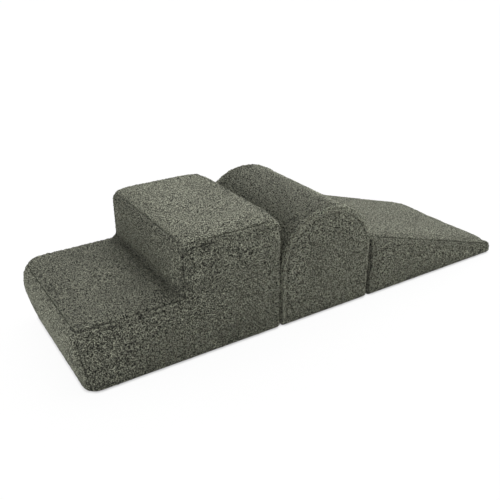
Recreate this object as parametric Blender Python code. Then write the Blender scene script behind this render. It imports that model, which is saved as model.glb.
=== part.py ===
"""Soft play foam climber: a two-step block, a half-round hump and a wedge ramp.

Each block is cut foam in a sewn teddy boucle cover. Its fabric panels are crowned between
seams that draw in, and its base opens with a zip whose slider has no pull tab.
X runs from the low step to the tip of the ramp, and -Y is the near side. The origin is on
the floor, under the middle of the row of blocks.
"""
import math

import bmesh
import bpy
from mathutils import Vector

# Overall sizes in metres
WIDTH = 0.400
STAIR_LENGTH = 0.500
LOW_TREAD = 0.242
LOW_HEIGHT = 0.163
STAIR_HEIGHT = 0.293
HUMP_LENGTH = 0.278
HUMP_HEIGHT = 0.284
HUMP_TOP_FLAT = 0.010
WEDGE_LENGTH = 0.492
WEDGE_HEIGHT = 0.178
NOSE_HEIGHT = 0.030
BLOCK_GAP = 0.0005

# Cover and foam
COVER = 0.006
GAP = 0.0003
FOAM_CLEARANCE = 0.0005
FOAM_DEPTH = COVER + FOAM_CLEARANCE
SEAM_DRAW = 0.0025
GLUE_LINE = 0.0003

# Radii of the foam edges, which the cover is stretched round
BASE_ROUND = 0.0022
END_ROUND = 0.0035
TREAD_ROUND = 0.0077
LOW_END_ROUND = 0.0270
RISER_TOP_ROUND = 0.0140
LOW_TOP_ROUND = 0.0290
END_TOP_ROUND = 0.0070
NOSE_ROUND = 0.0057
GLUED_EDGE_ROUND = 0.0010
CREASE_ROUND = 0.0080
FACE_ROUND = 0.0030

# Crowns of the fabric panels
TREAD_CROWN = 0.0045
RISER_CROWN = 0.0025
LOW_END_CROWN = 0.0030
MEETING_CROWN = 0.0007
SLOPE_CROWN = 0.0045
SIDE_CROWN = 0.0035
SIDE_CROWN_SHARES = ((0.80, 0.55), (0.42, 1.0))

# Zip in the base of each block
STAIR_ZIP_LENGTH = 0.400
HUMP_ZIP_LENGTH = 0.300
WEDGE_ZIP_LENGTH = 0.380
TOOTH_PITCH = 0.006
TOOTH_TIP = 0.0026
TOOTH_NECK = 0.0018
TOOTH_REACH = 0.0012
TOOTH_THICKNESS = 0.0024
BEAD_WIDTH = 0.0014
BEAD_CLEARANCE = 0.0004
TAPE_WIDTH = 0.0110
TAPE_THICKNESS = 0.0006
TAPE_OVERHANG = 0.0220
HEM_THICKNESS = 0.0024
SLOT_HALF_WIDTH = 0.0060
SLIDER_LENGTH = 0.0130
SLIDER_NOSE_WIDTH = 0.0100
SLIDER_TAIL_WIDTH = 0.0084
SLIDER_PLATE = 0.0009
LIP_WALL = 0.0012
SLIDER_CLEARANCE = 0.0004
POST_WIDTH = 0.0020
POST_LENGTH = 0.0034
CLIP_HOLE_LENGTH = 0.0048
CLIP_HOLE_WIDTH = 0.0024
STOP_LENGTH = 0.0030
CUT_OVERRUN = 0.0020
WELD = 0.00001

# Shares of a corner or of an edge at which the cover is sampled
SMALL_CORNER_SHARES = (0.0, 0.28, 0.5, 0.72, 1.0)
LARGE_CORNER_SHARES = (0.0, 0.2, 0.38, 0.5, 0.62, 0.8, 1.0)
LOW_END_CORNER_SHARES = (0.4, 0.65, 1.0)
ARCH_STEPS = 9
NOSE_STEPS = 3
LONG_EDGE_SHARES = (0.25, 0.5, 0.75)
SEAM_ANGLE = math.radians(45)
NEAR_SEAM_TURN = math.radians(13)
SHOULDER_TURN = math.radians(29)
ACROSS_SHARES = (-0.5, 0.0, 0.5)
ARCH_ACROSS_SHARES = (0.0,)

# Shares of the slider's length, and how far its lips follow its flare
CHAMFER_SHARE = 1 / 6
LIP_SHARE = 1 / 3
FLARE_SHARE = 0.75

# Zip heights above the floor, worked up from the hem that the tape lies on
TAPE_BOTTOM = HEM_THICKNESS + GAP
ZIP_HEIGHT = TAPE_BOTTOM + TAPE_THICKNESS / 2
CHANNEL_HALF = TOOTH_THICKNESS / 2 + SLIDER_CLEARANCE
BEAD_INNER = TOOTH_REACH + BEAD_CLEARANCE
BEAD_OUTER = BEAD_INNER + BEAD_WIDTH
TAPE_INNER = BEAD_OUTER + GAP
TAPE_OUTER = TAPE_INNER + TAPE_WIDTH
CHAIN_FOOT = STOP_LENGTH + GAP
CHAIN_HEAD = SLIDER_LENGTH / 2 + STOP_LENGTH + 2 * GAP

# Colours as linear RGB, with roughness and metallic
FINISHES = {
    "boucle": ((0.098, 0.102, 0.072, 1.0), 1.0, 0.0),
    "base_cloth": ((0.060, 0.062, 0.046, 1.0), 0.9, 0.0),
    "foam": ((0.700, 0.680, 0.580, 1.0), 0.95, 0.0),
    "zip_tape": ((0.070, 0.073, 0.052, 1.0), 0.9, 0.0),
    "zip_teeth": ((0.045, 0.047, 0.036, 1.0), 0.45, 0.0),
    "zip_metal": ((0.230, 0.225, 0.210, 1.0), 0.35, 1.0),
}


class Corner:
    """A corner of a block's side view, with the cover's radius there and its sample shares."""

    def __init__(self, x, z, radius, shares=SMALL_CORNER_SHARES):
        self.place = Vector((x, z))
        self.radius = radius
        self.shares = shares


class Edge:
    """A face of a block seen from the side: its rounding towards the side, crown and stations."""

    def __init__(self, side_round, crown=0.0, shares=LONG_EDGE_SHARES):
        self.side_round = side_round
        self.crown = crown
        self.shares = shares


class Block:
    """A block as corners and edges that run anticlockwise seen from the near side.

    Edge i runs from corner i to the next one. The middle is a point from which the whole
    side face can be seen.
    """

    def __init__(self, corners, edges, middle):
        self.corners = corners
        self.edges = edges
        self.middle = Vector(middle)

    def direction(self, i):
        a = self.corners[i % len(self.corners)].place
        b = self.corners[(i + 1) % len(self.corners)].place
        return (b - a).normalized()

    def outward(self, i):
        along = self.direction(i)
        return Vector((along.y, -along.x))


class Lane:
    """One line along the cover: round the side edge at an angle, or across the flat at a share."""

    def __init__(self, side=0, angle=math.pi / 2, shift=0.0, share=None):
        self.side = side
        self.angle = angle
        self.shift = shift
        self.share = share

    def insets(self, edge, depth):
        """How far the lane lies inside the edge's face, and inside the side face."""
        radius = edge.side_round - depth
        if self.share is not None:
            return depth, edge.side_round
        angle = self.angle + self.shift / (edge.side_round - COVER)
        return depth + radius * (1 - math.sin(angle)), depth + radius * (1 - math.cos(angle))

    def across(self, side_inset):
        """The lane's place across the width."""
        half = WIDTH / 2 - side_inset
        return self.side * half if self.share is None else self.share * half

    def crown_share(self):
        return 0.0 if self.share is None else 1 - self.share**2


def side_inset(block, i, place, lane, depth):
    """How far in from the side face a lane lies on edge i, rounder near a rounder neighbour."""
    own = lane.insets(block.edges[i], depth)[1]
    inset = own
    for neighbour, corner in ((i - 1, i), (i + 1, i + 1)):
        edge = block.edges[neighbour % len(block.edges)]
        inward = -block.outward(neighbour % len(block.edges))
        reach = (place - block.corners[corner % len(block.corners)].place).dot(inward)
        if edge.side_round > block.edges[i].side_round and reach < edge.side_round:
            spoke = edge.side_round - own
            rise = max(spoke**2 - (edge.side_round - reach) ** 2, 0.0)
            inset = max(inset, edge.side_round - math.sqrt(rise))
    return inset


def corner_arc(block, i, lane, depth):
    """Start, centre and turn of the arc at corner i of the section that a lane follows."""
    before, after = (i - 1) % len(block.edges), i % len(block.edges)
    inset_a = lane.insets(block.edges[before], depth)[0]
    inset_b = lane.insets(block.edges[after], depth)[0]
    along_a, along_b = block.direction(before), block.direction(after)
    out_a = block.outward(before)
    turn = math.atan2(along_a.cross(along_b), along_a.dot(along_b))
    slide = (inset_a * math.cos(turn) - inset_b) / math.sin(turn)
    tip = block.corners[i % len(block.corners)].place - out_a * inset_a + along_a * slide
    mean = (inset_a + inset_b) / 2
    radius = block.corners[i % len(block.corners)].radius
    radius = max(radius - mean, FACE_ROUND) if turn > 0 else radius + mean
    start = tip - along_a * radius * math.tan(abs(turn) / 2)
    centre = start - out_a * math.copysign(radius, turn)
    return start, centre, turn


def arc_place(start, centre, angle):
    """The start of an arc turned about its centre."""
    spoke = start - centre
    x = spoke.x * math.cos(angle) - spoke.y * math.sin(angle)
    z = spoke.x * math.sin(angle) + spoke.y * math.cos(angle)
    return centre + Vector((x, z))


def cover_point(block, station, lane, depth):
    """A point of the cover: a station along the side view, a lane across it, a depth below it."""
    kind, i, share = station
    if kind == "corner":
        start, centre, turn = corner_arc(block, i, lane, depth)
        end = arc_place(start, centre, turn)
        before = side_inset(block, (i - 1) % len(block.edges), start, lane, depth)
        after = side_inset(block, i, end, lane, depth)
        place = arc_place(start, centre, turn * share)
        inset = before + (after - before) * share
    else:
        start, centre, turn = corner_arc(block, i, lane, depth)
        start = arc_place(start, centre, turn)
        end = corner_arc(block, (i + 1) % len(block.corners), lane, depth)[0]
        place = start.lerp(end, share)
        inset = side_inset(block, i, place, lane, depth)
        if depth == 0:
            bulge = block.edges[i].crown * lane.crown_share() * 4 * share * (1 - share)
            place += block.outward(i) * bulge
    return Vector((place.x, lane.across(inset), place.y))


def stations_round(block):
    """All the stations once round the side view."""
    stations = []
    for i, corner in enumerate(block.corners):
        stations += [("corner", i, share) for share in corner.shares]
        stations += [("edge", i, share) for share in block.edges[i].shares]
    return stations


def stations_between(block, first_edge, last_edge):
    """Stations of a panel that covers some edges, from the seam before to the seam after."""
    stations = seam_half(block, first_edge, after=True)
    for i in range(first_edge, last_edge + 1):
        if i > first_edge:
            stations += [("corner", i, share) for share in block.corners[i].shares]
        stations += [("edge", i, share) for share in block.edges[i].shares]
    return stations + seam_half(block, (last_edge + 1) % len(block.corners), after=False)


def seam_half(block, i, after):
    """Half of a corner's stations, which stop short of the seam by half a gap."""
    corner = block.corners[i]
    turn = abs(corner_arc(block, i, Lane(share=0.0), 0.0)[2])
    tightest = min(corner.radius, abs(corner.radius - COVER))
    short = GAP / 2 / (tightest * turn)
    if after:
        shares = [0.5 + short] + [share for share in corner.shares if share > 0.5]
    else:
        shares = [share for share in corner.shares if share < 0.5] + [0.5 - short]
    return [("corner", i, share) for share in shares]


def side_lanes(side, towards_face):
    """Lanes from a side seam: over the shoulder to the flat, or down to the side face."""
    sign = -1 if towards_face else 1
    shift = sign * GAP / 2
    turns = (0.0, NEAR_SEAM_TURN, SHOULDER_TURN, SEAM_ANGLE)
    return [Lane(side, SEAM_ANGLE + sign * turn, shift * (turn == 0)) for turn in turns]


def new_object(name, bm, finish):
    """A finished mesh object in the collection of parts, with its faces pointing out."""
    bmesh.ops.recalc_face_normals(bm, faces=bm.faces)
    mesh = bpy.data.meshes.new(name)
    bm.to_mesh(mesh)
    bm.free()
    return add_part(name, mesh, finish)


def add_part(name, mesh, finish):
    part = bpy.data.objects.new(name, mesh)
    mesh.materials.clear()
    mesh.materials.append(MATERIALS[finish])
    PARTS.objects.link(part)
    mesh.shade_smooth()
    mesh.set_sharp_from_angle(angle=math.radians(40))
    return part


def loft(name, rings, finish):
    """A closed solid through rings of points, with its two ends capped."""
    bm = bmesh.new()
    rows = [[bm.verts.new(point) for point in ring] for ring in rings]
    for row, following in zip(rows, rows[1:]):
        for i in range(len(row)):
            j = (i + 1) % len(row)
            bm.faces.new((row[i], row[j], following[j], following[i]))
    bm.faces.new(rows[0])
    bm.faces.new(reversed(rows[-1]))
    return new_object(name, bm, finish)


def thick_panel(name, outer, inner, finish):
    """A closed solid between an outer and an inner grid of points, joined round their rim."""
    bm = bmesh.new()
    grids = [[[bm.verts.new(point) for point in row] for row in grid] for grid in (outer, inner)]
    rows, columns = len(outer), len(outer[0])
    for grid in grids:
        for i in range(rows - 1):
            for j in range(columns - 1):
                bm.faces.new((grid[i][j], grid[i][j + 1], grid[i + 1][j + 1], grid[i + 1][j]))
    rim = [(0, j) for j in range(columns - 1)]
    rim += [(i, columns - 1) for i in range(rows - 1)]
    rim += [(rows - 1, j) for j in range(columns - 1, 0, -1)]
    rim += [(i, 0) for i in range(rows - 1, 0, -1)]
    top, under = grids
    for (i, j), (k, m) in zip(rim, rim[1:] + rim[:1]):
        bm.faces.new((top[i][j], top[k][m], under[k][m], under[i][j]))
    return new_object(name, bm, finish)


def strip_panel(name, block, first_edge, last_edge, finish="boucle", across=ACROSS_SHARES):
    """The cover panel that runs over some edges of a block, from one side seam to the other."""
    stations = stations_between(block, first_edge, last_edge)
    near = side_lanes(-1, towards_face=False)
    far = side_lanes(1, towards_face=False)
    lanes = near + [Lane(share=share) for share in across] + far[::-1]
    outer = []
    for station in stations:
        at_seam = station in (stations[0], stations[-1])
        depths = [SEAM_DRAW if at_seam or lane in (near[0], far[0]) else 0.0 for lane in lanes]
        outer.append([cover_point(block, station, *pair) for pair in zip(lanes, depths)])
    inner = [[cover_point(block, station, lane, COVER) for lane in lanes] for station in stations]
    return thick_panel(name, outer, inner, finish)


def side_panel(name, block, side):
    """The flat side panel of a cover: a crowned face that turns in to the seam all round."""
    stations = stations_round(block)
    lanes = side_lanes(side, towards_face=True)
    face = [cover_point(block, station, lanes[-1], 0.0) for station in stations]
    rings = []
    for scale, rise in reversed(SIDE_CROWN_SHARES):
        rings.append([crowned(point, block.middle, scale, side * rise) for point in face])
    rings.append(face)
    for lane in lanes[-2:0:-1]:
        rings.append([cover_point(block, station, lane, 0.0) for station in stations])
    rings.append([cover_point(block, station, lanes[0], SEAM_DRAW) for station in stations])
    rings += [[cover_point(block, station, lane, COVER) for station in stations] for lane in lanes]
    return loft(name, rings, "boucle")


def crowned(point, middle, scale, rise):
    """A point of the side face drawn towards its middle and raised by a share of the crown."""
    x = middle.x + (point.x - middle.x) * scale
    z = middle.y + (point.z - middle.y) * scale
    return Vector((x, point.y + SIDE_CROWN * rise, z))


def foam_solid(name, block, depth=FOAM_DEPTH):
    """A block of cut foam, with its edges rounded as the cover draws them in."""
    stations = stations_round(block)
    rings = []
    for side in (-1, 1):
        lanes = side_lanes(side, towards_face=False) + side_lanes(side, towards_face=True)
        turns = [lane for lane in lanes if lane.shift == 0]
        turns.sort(key=lambda lane: side * -lane.angle)
        rings += [[cover_point(block, station, lane, depth) for station in stations] for lane in turns]
    return loft(name, rings, "foam")


def low_end_shares():
    """Stations along the stair base that follow its rounded corners at the low end."""
    corner = BASE_ROUND + FOAM_DEPTH
    swept = LOW_END_ROUND + FOAM_DEPTH
    run = STAIR_LENGTH - 2 * corner
    return tuple((swept * share - corner) / run for share in LOW_END_CORNER_SHARES)


def stair_block():
    """The two-step block: base, tall end, upper tread, riser, low tread and low end."""
    return Block(
        [
            Corner(0, 0, BASE_ROUND + FOAM_DEPTH),
            Corner(STAIR_LENGTH, 0, BASE_ROUND + FOAM_DEPTH),
            Corner(STAIR_LENGTH, STAIR_HEIGHT, END_TOP_ROUND + FOAM_DEPTH),
            Corner(LOW_TREAD, STAIR_HEIGHT, RISER_TOP_ROUND + FOAM_DEPTH, LARGE_CORNER_SHARES),
            Corner(LOW_TREAD, LOW_HEIGHT, CREASE_ROUND),
            Corner(0, LOW_HEIGHT, LOW_TOP_ROUND + FOAM_DEPTH, LARGE_CORNER_SHARES),
        ],
        [
            Edge(BASE_ROUND + FOAM_DEPTH, shares=low_end_shares()),
            Edge(END_ROUND + FOAM_DEPTH, MEETING_CROWN, (0.5,)),
            Edge(TREAD_ROUND + FOAM_DEPTH, TREAD_CROWN),
            Edge(TREAD_ROUND + FOAM_DEPTH, RISER_CROWN, (0.5,)),
            Edge(TREAD_ROUND + FOAM_DEPTH, TREAD_CROWN),
            Edge(LOW_END_ROUND + FOAM_DEPTH, LOW_END_CROWN, (0.5,)),
        ],
        ((LOW_TREAD + STAIR_LENGTH) / 2, LOW_HEIGHT / 2),
    )


def hump_block():
    """The half-round block: base, right flank, top and left flank."""
    arch = (HUMP_LENGTH - HUMP_TOP_FLAT) / 2
    arch_shares = tuple(step / ARCH_STEPS for step in range(ARCH_STEPS + 1))
    return Block(
        [
            Corner(0, 0, BASE_ROUND + FOAM_DEPTH),
            Corner(HUMP_LENGTH, 0, BASE_ROUND + FOAM_DEPTH),
            Corner(HUMP_LENGTH, HUMP_HEIGHT, arch, arch_shares),
            Corner(0, HUMP_HEIGHT, arch, arch_shares),
        ],
        [
            Edge(BASE_ROUND + FOAM_DEPTH, shares=()),
            Edge(END_ROUND + FOAM_DEPTH, MEETING_CROWN, (0.5,)),
            Edge(END_ROUND + FOAM_DEPTH, shares=()),
            Edge(END_ROUND + FOAM_DEPTH, MEETING_CROWN, (0.5,)),
        ],
        (HUMP_LENGTH / 2, HUMP_HEIGHT / 2),
    )


def wedge_block():
    """The ramp: base, blunt nose, slope and high end."""
    nose_shares = tuple(step / NOSE_STEPS for step in range(NOSE_STEPS + 1))
    return Block(
        [
            Corner(0, 0, BASE_ROUND + FOAM_DEPTH),
            Corner(WEDGE_LENGTH, 0, BASE_ROUND + FOAM_DEPTH),
            Corner(WEDGE_LENGTH, NOSE_HEIGHT, NOSE_ROUND + FOAM_DEPTH, nose_shares),
            Corner(0, WEDGE_HEIGHT, END_TOP_ROUND + FOAM_DEPTH),
        ],
        [
            Edge(BASE_ROUND + FOAM_DEPTH, shares=()),
            Edge(NOSE_ROUND + FOAM_DEPTH, shares=()),
            Edge(TREAD_ROUND + FOAM_DEPTH, SLOPE_CROWN),
            Edge(END_ROUND + FOAM_DEPTH, MEETING_CROWN, (0.5,)),
        ],
        (WEDGE_LENGTH / 3, WEDGE_HEIGHT / 3),
    )


def stair_foam():
    """The stair foam: a full-length slab and the upper block glued on it."""
    slab_top = LOW_HEIGHT
    slab = Block(
        [
            Corner(0, 0, BASE_ROUND + FOAM_DEPTH),
            Corner(STAIR_LENGTH, 0, BASE_ROUND + FOAM_DEPTH),
            Corner(STAIR_LENGTH, slab_top, GLUED_EDGE_ROUND + FOAM_DEPTH),
            Corner(0, slab_top, LOW_TOP_ROUND + FOAM_DEPTH, LARGE_CORNER_SHARES),
        ],
        [
            Edge(BASE_ROUND + FOAM_DEPTH, shares=low_end_shares()),
            Edge(END_ROUND + FOAM_DEPTH, shares=()),
            Edge(TREAD_ROUND + FOAM_DEPTH, shares=()),
            Edge(LOW_END_ROUND + FOAM_DEPTH, shares=()),
        ],
        (STAIR_LENGTH / 2, slab_top / 2),
    )
    foot = LOW_HEIGHT - 2 * FOAM_DEPTH + GLUE_LINE
    upper = Block(
        [
            Corner(LOW_TREAD, foot, GLUED_EDGE_ROUND + FOAM_DEPTH),
            Corner(STAIR_LENGTH, foot, GLUED_EDGE_ROUND + FOAM_DEPTH),
            Corner(STAIR_LENGTH, STAIR_HEIGHT, END_TOP_ROUND + FOAM_DEPTH),
            Corner(LOW_TREAD, STAIR_HEIGHT, RISER_TOP_ROUND + FOAM_DEPTH, LARGE_CORNER_SHARES),
        ],
        [
            Edge(GLUED_EDGE_ROUND + FOAM_DEPTH, shares=()),
            Edge(END_ROUND + FOAM_DEPTH, shares=()),
            Edge(TREAD_ROUND + FOAM_DEPTH, shares=()),
            Edge(TREAD_ROUND + FOAM_DEPTH, shares=()),
        ],
        ((LOW_TREAD + STAIR_LENGTH) / 2, (foot + STAIR_HEIGHT) / 2),
    )
    return [foam_solid("stair_foam_slab", slab), foam_solid("stair_foam_upper_block", upper)]


def box_cutter(name, low, high):
    """A box from one corner to the opposite one, kept as a cutter that is not part of the object."""
    bm = bmesh.new()
    bmesh.ops.create_cube(bm, size=1)
    size = [b - a for a, b in zip(low, high)]
    middle = [(a + b) / 2 for a, b in zip(low, high)]
    bmesh.ops.scale(bm, vec=size, verts=bm.verts)
    bmesh.ops.translate(bm, vec=middle, verts=bm.verts)
    mesh = bpy.data.meshes.new(name)
    bm.to_mesh(mesh)
    bm.free()
    cutter = bpy.data.objects.new(name, mesh)
    cutter.display_type = "WIRE"
    cutter.hide_render = True
    CUTTERS.objects.link(cutter)
    return cutter


def cut(part, cutter, operation="DIFFERENCE"):
    modifier = part.modifiers.new(cutter.name, "BOOLEAN")
    modifier.operation = operation
    modifier.solver = "EXACT"
    modifier.object = cutter


def base_panels(prefix, block, length, zip_length, across):
    """The two halves of the base cloth, hemmed thin beside the zip that joins them."""
    middle = (length / 2, 0.0)
    reach = length + WIDTH
    slot_ends = (-zip_length / 2 - CHAIN_FOOT, zip_length / 2 + CHAIN_HEAD)
    rebate_end = zip_length / 2 + TAPE_OVERHANG + GAP
    rebate_side = TAPE_OUTER + GAP
    slot = zip_box(prefix + "_zip_slot", middle, across, slot_ends,
                   (-SLOT_HALF_WIDTH, SLOT_HALF_WIDTH), (-CUT_OVERRUN, COVER + CUT_OVERRUN))
    rebate = zip_box(prefix + "_zip_rebate", middle, across, (-rebate_end, rebate_end),
                     (-rebate_side, rebate_side), (HEM_THICKNESS, COVER + CUT_OVERRUN))
    panels = []
    for side, word in side_words(across):
        name = f"{prefix}_base_{word}_panel"
        panel = strip_panel(name, block, 0, 0, "base_cloth", across=())
        edges = sorted((side * GAP / 2, side * reach))
        half = zip_box(name + "_half", middle, across, (-reach, reach), edges,
                       (-CUT_OVERRUN, reach))
        cut(panel, half, "INTERSECT")
        cut(panel, slot)
        cut(panel, rebate)
        panels.append(panel)
    return panels


def side_words(across):
    """The two sides of a zip and their names: it runs along the row of blocks, or across it."""
    return ((-1, "right"), (1, "left")) if across else ((-1, "near"), (1, "far"))


def zip_box(name, middle, across, along, sideways, heights):
    """A box cutter given along and beside a zip, for a zip that runs either way."""
    low = zip_place(middle, across, along[0], sideways[0], heights[0])
    high = zip_place(middle, across, along[1], sideways[1], heights[1])
    corners = [sorted(pair) for pair in zip(low, high)]
    return box_cutter(name, [pair[0] for pair in corners], [pair[1] for pair in corners])


def zip_place(middle, across, along, sideways, height):
    """A place beside a zip, in its block's own frame."""
    if across:
        return (middle[0] - sideways, middle[1] + along, height)
    return (middle[0] + along, middle[1] + sideways, height)


def flat_mesh(name, outlines, thickness, height):
    """A mesh of flat outlines in the XY plane, given a thickness round a middle height."""
    curve = bpy.data.curves.new(name, "CURVE")
    curve.dimensions = "2D"
    curve.fill_mode = "BOTH"
    curve.extrude = thickness / 2
    for outline in outlines:
        spline = curve.splines.new("POLY")
        spline.points.add(len(outline) - 1)
        for point, (x, y) in zip(spline.points, outline):
            point.co = (x, y, 0, 1)
        spline.use_cyclic_u = True
    holder = bpy.data.objects.new(name + "_outline", curve)
    bpy.context.scene.collection.objects.link(holder)
    graph = bpy.context.evaluated_depsgraph_get()
    mesh = bpy.data.meshes.new_from_object(holder.evaluated_get(graph))
    bpy.data.objects.remove(holder)
    bpy.data.curves.remove(curve)
    bm = bmesh.new()
    bm.from_mesh(mesh)
    bmesh.ops.remove_doubles(bm, verts=bm.verts, dist=WELD)
    bmesh.ops.translate(bm, vec=(0, 0, height), verts=bm.verts)
    bmesh.ops.recalc_face_normals(bm, faces=bm.faces)
    bm.to_mesh(mesh)
    bm.free()
    return mesh


def tooth_row(name, side, zip_length):
    """One row of moulded teeth on its bead: a tooth flares to its tip and enters the other row."""
    count = int((zip_length - TOOTH_PITCH) / TOOTH_PITCH)
    first = -zip_length / 2 + TOOTH_PITCH / 2 + (side + 1) / 2 * TOOTH_PITCH / 2
    tip, root, back = side * -TOOTH_REACH, side * BEAD_INNER, side * BEAD_OUTER
    outline = []
    for step in range(count):
        centre = first + step * TOOTH_PITCH
        outline.append((centre - TOOTH_NECK / 2, root))
        outline.append((centre - TOOTH_TIP / 2, tip))
        outline.append((centre + TOOTH_TIP / 2, tip))
        outline.append((centre + TOOTH_NECK / 2, root))
    end = first + (count - 1) * TOOTH_PITCH + TOOTH_TIP / 2
    start = first - TOOTH_TIP / 2
    outline += [(end, root), (end, back), (start, back), (start, root)]
    mesh = flat_mesh(name, [outline], TOOTH_THICKNESS, 0)
    return add_part(name, mesh, "zip_teeth")


def zip_tape(name, side, zip_length):
    """The woven tape that carries a row of teeth and is sewn over the hem of the base cloth."""
    end = zip_length / 2 + TAPE_OVERHANG
    sides = (side * TAPE_INNER, side * TAPE_OUTER)
    outline = [(-end, sides[0]), (end, sides[0]), (end, sides[1]), (-end, sides[1])]
    return add_part(name, flat_mesh(name, [outline], TAPE_THICKNESS, 0), "zip_tape")


def slider_outline():
    """A slider plate from above: broad at the nose, narrower at the tail, with cut corners."""
    half = SLIDER_LENGTH / 2
    chamfer = SLIDER_LENGTH * CHAMFER_SHARE
    nose, tail = SLIDER_NOSE_WIDTH / 2, SLIDER_TAIL_WIDTH / 2
    right = [(-half, -tail + chamfer), (-half + chamfer, -tail)]
    right += [(half - chamfer, -nose), (half, -nose + chamfer)]
    return right + [(x, -y) for x, y in reversed(right)]


def zip_slider(name):
    """The slider: two shield-shaped plates on a post, with lips that leave a slot for the tapes."""
    outline = slider_outline()
    plate_height = CHANNEL_HALF + SLIDER_PLATE / 2
    slider = add_part(name, flat_mesh(name, [outline], SLIDER_PLATE, -plate_height), "zip_metal")
    upper = flat_cutter(name + "_upper_plate", [outline], SLIDER_PLATE, plate_height)
    lip_height = CHANNEL_HALF - TAPE_THICKNESS / 2 - GAP
    nose, tail = SLIDER_NOSE_WIDTH / 2, SLIDER_TAIL_WIDTH / 2
    run = SLIDER_LENGTH * LIP_SHARE
    lips = []
    for side in (-1, 1):
        back, front = side * tail, side * (tail + (nose - tail) * FLARE_SHARE)
        wall = side * LIP_WALL
        lips.append([(-run, back - wall), (run, front - wall), (run, front), (-run, back)])
    overlap = SLIDER_PLATE / 2
    middle = CHANNEL_HALF - lip_height / 2 + overlap / 2
    lower_lips = flat_cutter(name + "_lower_lips", lips, lip_height + overlap, -middle)
    upper_lips = flat_cutter(name + "_upper_lips", lips, lip_height + overlap, middle)
    rear = SLIDER_LENGTH / 2 - POST_LENGTH - SLIDER_PLATE
    half = POST_WIDTH / 2
    diamond = [(rear, 0), (rear + half, -half), (rear + POST_LENGTH, -half),
               (rear + POST_LENGTH, half), (rear + half, half)]
    post = flat_cutter(name + "_post", [diamond], 2 * CHANNEL_HALF + SLIDER_PLATE, 0)
    length, width = CLIP_HOLE_LENGTH / 2, CLIP_HOLE_WIDTH / 2
    hole = box_cutter(name + "_clip_hole", (-length, -width, -SLIDER_LENGTH), (length, width, 0))
    cut(slider, lower_lips, "UNION")
    cut(slider, post, "UNION")
    cut(slider, upper, "UNION")
    cut(slider, upper_lips, "UNION")
    cut(slider, hole)
    return slider, [upper, lower_lips, upper_lips, post, hole]


def flat_cutter(name, outlines, thickness, height):
    """A flat solid that is joined to a part and is not a part of its own."""
    cutter = bpy.data.objects.new(name, flat_mesh(name, outlines, thickness, height))
    cutter.display_type = "WIRE"
    cutter.hide_render = True
    CUTTERS.objects.link(cutter)
    return cutter


def flat_part(name, outline, thickness, finish):
    return add_part(name, flat_mesh(name, [outline], thickness, 0), finish)


def bottom_stop(name, zip_length):
    """The staple across both rows, where the slider's travel ends."""
    end = -zip_length / 2
    outline = [(end - STOP_LENGTH, -BEAD_OUTER), (end - GAP, -BEAD_OUTER),
               (end - GAP, BEAD_OUTER), (end - STOP_LENGTH, BEAD_OUTER)]
    return flat_part(name, outline, TOOTH_THICKNESS, "zip_metal")


def top_stop(name, side, zip_length):
    """The crimp on one bead, where the slider comes to rest with the zip closed."""
    start = zip_length / 2 + SLIDER_LENGTH / 2 + GAP
    inner, outer = side * BEAD_INNER, side * BEAD_OUTER
    end = start + STOP_LENGTH
    return flat_part(name, [(start, inner), (end, inner), (end, outer), (start, outer)],
                     TOOTH_THICKNESS, "zip_metal")


def zip_parts(prefix, zip_length, across):
    """A closed zip with its slider at the end of the chain, in the zip's own frame."""
    fixed = []
    for side, word in side_words(across):
        fixed.append(zip_tape(f"{prefix}_zip_{word}_tape", side, zip_length))
        fixed.append(tooth_row(f"{prefix}_zip_{word}_teeth", side, zip_length))
        fixed.append(top_stop(f"{prefix}_zip_{word}_top_stop", side, zip_length))
    fixed.append(bottom_stop(prefix + "_zip_bottom_stop", zip_length))
    slider, cutters = zip_slider(prefix + "_zip_slider")
    return fixed, slider, cutters


def place_zip(prefix, length, zip_length, across, start):
    """Put a zip in the middle of a block's base, along the row of blocks or across it."""
    fixed, slider, cutters = zip_parts(prefix, zip_length, across)
    turn = math.pi / 2 if across else 0.0
    middle = (start + length / 2, 0.0, ZIP_HEIGHT)
    for part in fixed:
        part.location = middle
        part.rotation_euler.z = turn
    slider_place = zip_place(middle, across, zip_length / 2, 0.0, ZIP_HEIGHT)
    for part in [slider] + cutters:
        part.location = slider_place
        part.rotation_euler.z = turn


def move(parts, start):
    for part in parts:
        part.location.x = start


def build_stairs(start):
    """The two-step block."""
    block = stair_block()
    parts = stair_foam()
    parts.append(side_panel("stair_near_side_panel", block, -1))
    parts.append(side_panel("stair_far_side_panel", block, 1))
    strips = ("tall_end", "upper_tread", "riser", "low_tread", "low_end")
    for edge, word in enumerate(strips, start=1):
        parts.append(strip_panel(f"stair_{word}_panel", block, edge, edge))
    finish_block("stair", block, parts, STAIR_LENGTH, STAIR_ZIP_LENGTH, False, start)


def build_hump(start):
    """The half-round block."""
    block = hump_block()
    parts = [foam_solid("hump_foam_core", block)]
    parts.append(side_panel("hump_near_side_panel", block, -1))
    parts.append(side_panel("hump_far_side_panel", block, 1))
    parts.append(strip_panel("hump_arch_panel", block, 1, 3, across=ARCH_ACROSS_SHARES))
    finish_block("hump", block, parts, HUMP_LENGTH, HUMP_ZIP_LENGTH, True, start)


def build_wedge(start):
    """The ramp."""
    block = wedge_block()
    parts = [foam_solid("wedge_foam_core", block)]
    parts.append(side_panel("wedge_near_side_panel", block, -1))
    parts.append(side_panel("wedge_far_side_panel", block, 1))
    parts.append(strip_panel("wedge_slope_panel", block, 1, 2))
    parts.append(strip_panel("wedge_high_end_panel", block, 3, 3))
    finish_block("wedge", block, parts, WEDGE_LENGTH, WEDGE_ZIP_LENGTH, False, start)


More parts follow.
